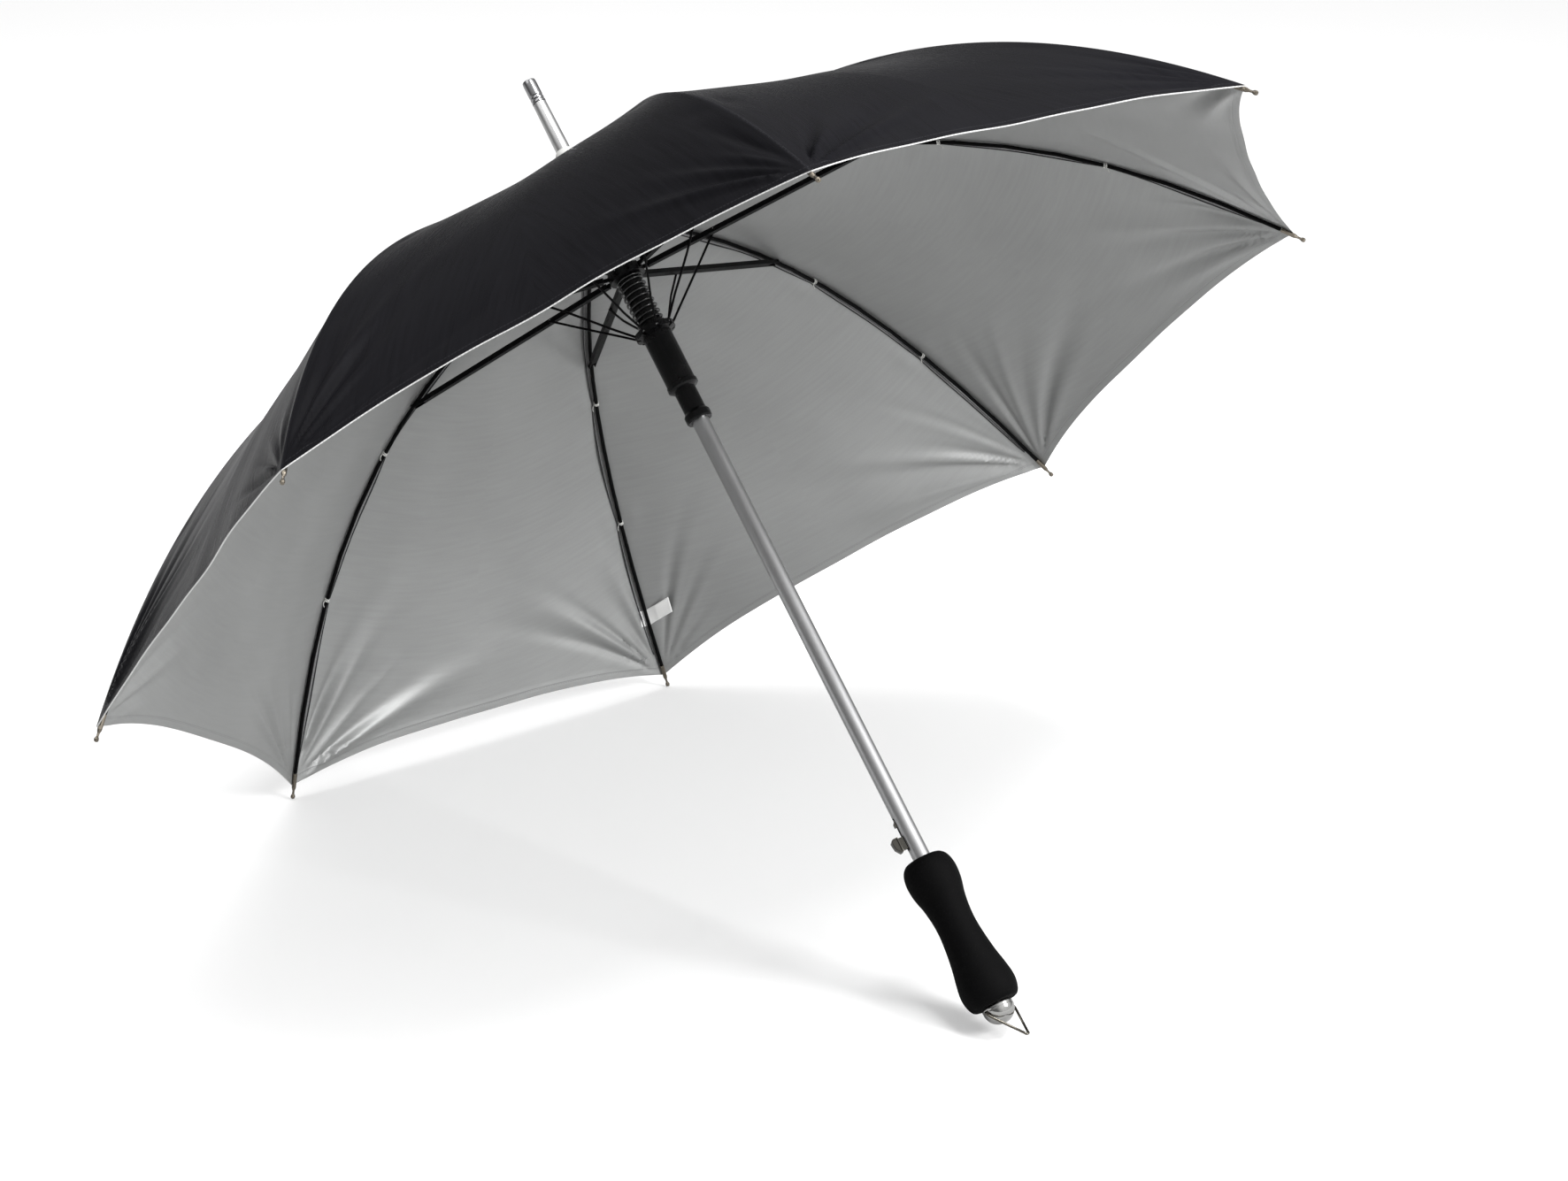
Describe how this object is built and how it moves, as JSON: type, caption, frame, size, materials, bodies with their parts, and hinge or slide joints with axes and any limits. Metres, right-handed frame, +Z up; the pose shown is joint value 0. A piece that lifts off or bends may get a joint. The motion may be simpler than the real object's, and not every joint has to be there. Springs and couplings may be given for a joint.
{
  "type": "stick umbrella",
  "caption": "Automatic stick umbrella, black cloth canopy lined in silver, curved ribs, sliding runner, foam grip with ball end and wire loop; usable as a reflector.",
  "frame": {"origin": "middle of the hand grip on the shaft's axis", "axes": "+Z up the shaft to the ferrule; the release button and rib 1 face -X"},
  "size_m": [1.056, 1.056, 0.8673],
  "materials": {
    "canopy_cloth": "satin woven cloth, silver-grey coated inside",
    "tip_metal": "satin",
    "black_steel": "gloss",
    "black_plastic": "gloss",
    "satin_aluminium": "satin",
    "polished_cap": "polished",
    "grip_foam": "matte foam",
    "pale_plastic": "matte",
    "label_tape": "woven tape",
    "bright_steel": "bright"
  },
  "bodies": {
    "shaft": {"shaft_tube": "satin_aluminium", "ferrule_tube": "satin_aluminium", "ferrule_cap": "polished_cap", "rosette_cup": "pale_plastic", "crown": "black_plastic", "crown_wire": "bright_steel", "hand_grip": "grip_foam", "ball_end": "bright_steel", "latch_spring": "black_steel"},
    "rib_1": {"rib_1": "black_steel", "rib_tip_1": "tip_metal", "canopy_gore_1": "canopy_cloth"},
    "stretcher_1": {"stretcher_1": "black_steel"},
    "wire_link_1": {"wire_link_1": "black_steel"},
    "rib_2": {"rib_2": "black_steel", "rib_tip_2": "tip_metal", "canopy_gore_2": "canopy_cloth"},
    "stretcher_2": {"stretcher_2": "black_steel"},
    "wire_link_2": {"wire_link_2": "black_steel"},
    "rib_3": {"rib_3": "black_steel", "rib_tip_3": "tip_metal", "canopy_gore_3": "canopy_cloth", "care_label": "label_tape"},
    "stretcher_3": {"stretcher_3": "black_steel"},
    "wire_link_3": {"wire_link_3": "black_steel"},
    "rib_4": {"rib_4": "black_steel", "rib_tip_4": "tip_metal", "canopy_gore_4": "canopy_cloth"},
    "stretcher_4": {"stretcher_4": "black_steel"},
    "wire_link_4": {"wire_link_4": "black_steel"},
    "rib_5": {"rib_5": "black_steel", "rib_tip_5": "tip_metal", "canopy_gore_5": "canopy_cloth"},
    "stretcher_5": {"stretcher_5": "black_steel"},
    "wire_link_5": {"wire_link_5": "black_steel"},
    "rib_6": {"rib_6": "black_steel", "rib_tip_6": "tip_metal", "canopy_gore_6": "canopy_cloth"},
    "stretcher_6": {"stretcher_6": "black_steel"},
    "wire_link_6": {"wire_link_6": "black_steel"},
    "rib_7": {"rib_7": "black_steel", "rib_tip_7": "tip_metal", "canopy_gore_7": "canopy_cloth"},
    "stretcher_7": {"stretcher_7": "black_steel"},
    "wire_link_7": {"wire_link_7": "black_steel"},
    "rib_8": {"rib_8": "black_steel", "rib_tip_8": "tip_metal", "canopy_gore_8": "canopy_cloth"},
    "stretcher_8": {"stretcher_8": "black_steel"},
    "wire_link_8": {"wire_link_8": "black_steel"},
    "upper_slide": {"upper_slide": "black_plastic", "upper_slide_wire": "bright_steel"},
    "runner": {"runner": "black_plastic", "runner_wire": "bright_steel", "opening_spring": "black_steel"},
    "release_button": {"release_button": "bright_steel"},
    "runner_catch": {"runner_catch": "bright_steel"},
    "wire_loop": {"wire_loop": "bright_steel"}
  },
  "joints": [
    {"name": "rib_1_fold", "type": "hinge", "parent": "shaft", "child": "rib_1", "pos_m": [-0.012, 0, 0.6325], "axis": [0, -1, 0], "range_deg": [0, 63], "stiffness_Nm_per_rad": 1.2, "springref_deg": -148.97, "deforming": ["canopy_gore_1"]},
    {"name": "stretcher_1_pivot", "type": "hinge", "parent": "rib_1", "child": "stretcher_1", "pos_m": [-0.237, 0, 0.6085], "axis": [0, -1, 0], "range_deg": [-126.5, 0]},
    {"name": "wire_link_1_pivot", "type": "hinge", "parent": "stretcher_1", "child": "wire_link_1", "pos_m": [-0.08161, 0, 0.59192], "axis": [0, -1, 0], "range_deg": [0, 30.26]},
    {"name": "rib_2_fold", "type": "hinge", "parent": "shaft", "child": "rib_2", "pos_m": [-0.00849, 0.00849, 0.6325], "axis": [-0.7071, -0.7071, 0], "range_deg": [0, 63.5], "deforming": ["canopy_gore_2"]},
    {"name": "stretcher_2_pivot", "type": "hinge", "parent": "rib_2", "child": "stretcher_2", "pos_m": [-0.16758, 0.16758, 0.6085], "axis": [-0.7071, -0.7071, 0], "range_deg": [-126.5, 0]},
    {"name": "wire_link_2_pivot", "type": "hinge", "parent": "stretcher_2", "child": "wire_link_2", "pos_m": [-0.0577, 0.0577, 0.59192], "axis": [-0.7071, -0.7071, 0], "range_deg": [0, 30.26]},
    {"name": "rib_3_fold", "type": "hinge", "parent": "shaft", "child": "rib_3", "pos_m": [0, 0.012, 0.6325], "axis": [-1, 0, 0], "range_deg": [0, 63.5], "deforming": ["canopy_gore_3"]},
    {"name": "stretcher_3_pivot", "type": "hinge", "parent": "rib_3", "child": "stretcher_3", "pos_m": [0, 0.237, 0.6085], "axis": [-1, 0, 0], "range_deg": [-126.5, 0]},
    {"name": "wire_link_3_pivot", "type": "hinge", "parent": "stretcher_3", "child": "wire_link_3", "pos_m": [0, 0.08161, 0.59192], "axis": [-1, 0, 0], "range_deg": [0, 30.26]},
    {"name": "rib_4_fold", "type": "hinge", "parent": "shaft", "child": "rib_4", "pos_m": [0.00849, 0.00849, 0.6325], "axis": [-0.7071, 0.7071, 0], "range_deg": [0, 63.5], "deforming": ["canopy_gore_4"]},
    {"name": "stretcher_4_pivot", "type": "hinge", "parent": "rib_4", "child": "stretcher_4", "pos_m": [0.16758, 0.16758, 0.6085], "axis": [-0.7071, 0.7071, 0], "range_deg": [-126.5, 0]},
    {"name": "wire_link_4_pivot", "type": "hinge", "parent": "stretcher_4", "child": "wire_link_4", "pos_m": [0.0577, 0.0577, 0.59192], "axis": [-0.7071, 0.7071, 0], "range_deg": [0, 30.26]},
    {"name": "rib_5_fold", "type": "hinge", "parent": "shaft", "child": "rib_5", "pos_m": [0.012, 0, 0.6325], "axis": [0, 1, 0], "range_deg": [0, 63.5], "deforming": ["canopy_gore_5"]},
    {"name": "stretcher_5_pivot", "type": "hinge", "parent": "rib_5", "child": "stretcher_5", "pos_m": [0.237, 0, 0.6085], "axis": [0, 1, 0], "range_deg": [-126.5, 0]},
    {"name": "wire_link_5_pivot", "type": "hinge", "parent": "stretcher_5", "child": "wire_link_5", "pos_m": [0.08161, 0, 0.59192], "axis": [0, 1, 0], "range_deg": [0, 30.26]},
    {"name": "rib_6_fold", "type": "hinge", "parent": "shaft", "child": "rib_6", "pos_m": [0.00849, -0.00849, 0.6325], "axis": [0.7071, 0.7071, 0], "range_deg": [0, 63.5], "deforming": ["canopy_gore_6"]},
    {"name": "stretcher_6_pivot", "type": "hinge", "parent": "rib_6", "child": "stretcher_6", "pos_m": [0.16758, -0.16758, 0.6085], "axis": [0.7071, 0.7071, 0], "range_deg": [-126.5, 0]},
    {"name": "wire_link_6_pivot", "type": "hinge", "parent": "stretcher_6", "child": "wire_link_6", "pos_m": [0.0577, -0.0577, 0.59192], "axis": [0.7071, 0.7071, 0], "range_deg": [0, 30.26]},
    {"name": "rib_7_fold", "type": "hinge", "parent": "shaft", "child": "rib_7", "pos_m": [0, -0.012, 0.6325], "axis": [1, 0, 0], "range_deg": [0, 63.5], "deforming": ["canopy_gore_7"]},
    {"name": "stretcher_7_pivot", "type": "hinge", "parent": "rib_7", "child": "stretcher_7", "pos_m": [0, -0.237, 0.6085], "axis": [1, 0, 0], "range_deg": [-126.5, 0]},
    {"name": "wire_link_7_pivot", "type": "hinge", "parent": "stretcher_7", "child": "wire_link_7", "pos_m": [0, -0.08161, 0.59192], "axis": [1, 0, 0], "range_deg": [0, 30.26]},
    {"name": "rib_8_fold", "type": "hinge", "parent": "shaft", "child": "rib_8", "pos_m": [-0.00849, -0.00849, 0.6325], "axis": [0.7071, -0.7071, 0], "range_deg": [0, 63.5], "deforming": ["canopy_gore_8"]},
    {"name": "stretcher_8_pivot", "type": "hinge", "parent": "rib_8", "child": "stretcher_8", "pos_m": [-0.16758, -0.16758, 0.6085], "axis": [0.7071, -0.7071, 0], "range_deg": [-126.5, 0]},
    {"name": "wire_link_8_pivot", "type": "hinge", "parent": "stretcher_8", "child": "wire_link_8", "pos_m": [-0.0577, -0.0577, 0.59192], "axis": [0.7071, -0.7071, 0], "range_deg": [0, 30.26]},
    {"name": "upper_slide_pivot", "type": "hinge", "parent": "stretcher_1", "child": "upper_slide", "pos_m": [-0.012, 0, 0.5845], "axis": [0, -1, 0], "range_deg": [0, 63.5]},
    {"name": "runner_slide", "type": "slide", "parent": "upper_slide", "child": "runner", "axis": [0, 0, 1], "range_m": [0, 0.03192], "deforming": ["opening_spring"]},
    {"name": "release_button_press", "type": "slide", "parent": "shaft", "child": "release_button", "axis": [1, 0, 0], "range_m": [0, 0.003], "stiffness_N_per_m": 600, "springref_m": -0.001, "deforming": ["latch_spring"]},
    {"name": "runner_catch_press", "type": "slide", "parent": "shaft", "child": "runner_catch", "axis": [1, 0, 0], "range_m": [0, 0.0031]},
    {"name": "wire_loop_swing", "type": "hinge", "parent": "shaft", "child": "wire_loop", "pos_m": [0, 0, -0.069], "axis": [0.8829, 0.4695, 0], "range_deg": [-60, 88]}
  ],
  "couplings": [
    {"joint": "stretcher_1_pivot", "follows": "rib_1_fold", "ratio": -2},
    {"joint": "wire_link_1_pivot", "follows": "rib_1_fold", "ratio": 0.4724},
    {"joint": "rib_2_fold", "follows": "rib_1_fold", "ratio": 1},
    {"joint": "stretcher_2_pivot", "follows": "rib_1_fold", "ratio": -2},
    {"joint": "wire_link_2_pivot", "follows": "rib_1_fold", "ratio": 0.4724},
    {"joint": "rib_3_fold", "follows": "rib_1_fold", "ratio": 1},
    {"joint": "stretcher_3_pivot", "follows": "rib_1_fold", "ratio": -2},
    {"joint": "wire_link_3_pivot", "follows": "rib_1_fold", "ratio": 0.4724},
    {"joint": "rib_4_fold", "follows": "rib_1_fold", "ratio": 1},
    {"joint": "stretcher_4_pivot", "follows": "rib_1_fold", "ratio": -2},
    {"joint": "wire_link_4_pivot", "follows": "rib_1_fold", "ratio": 0.4724},
    {"joint": "rib_5_fold", "follows": "rib_1_fold", "ratio": 1},
    {"joint": "stretcher_5_pivot", "follows": "rib_1_fold", "ratio": -2},
    {"joint": "wire_link_5_pivot", "follows": "rib_1_fold", "ratio": 0.4724},
    {"joint": "rib_6_fold", "follows": "rib_1_fold", "ratio": 1},
    {"joint": "stretcher_6_pivot", "follows": "rib_1_fold", "ratio": -2},
    {"joint": "wire_link_6_pivot", "follows": "rib_1_fold", "ratio": 0.4724},
    {"joint": "rib_7_fold", "follows": "rib_1_fold", "ratio": 1},
    {"joint": "stretcher_7_pivot", "follows": "rib_1_fold", "ratio": -2},
    {"joint": "wire_link_7_pivot", "follows": "rib_1_fold", "ratio": 0.4724},
    {"joint": "rib_8_fold", "follows": "rib_1_fold", "ratio": 1},
    {"joint": "stretcher_8_pivot", "follows": "rib_1_fold", "ratio": -2},
    {"joint": "wire_link_8_pivot", "follows": "rib_1_fold", "ratio": 0.4724},
    {"joint": "upper_slide_pivot", "follows": "rib_1_fold", "ratio": 1},
    {"joint": "runner_slide", "follows": "rib_1_fold", "m_per_rad": 0.028668},
    {"joint": "runner_catch_press", "follows": "release_button_press", "ratio": 1}
  ]
}
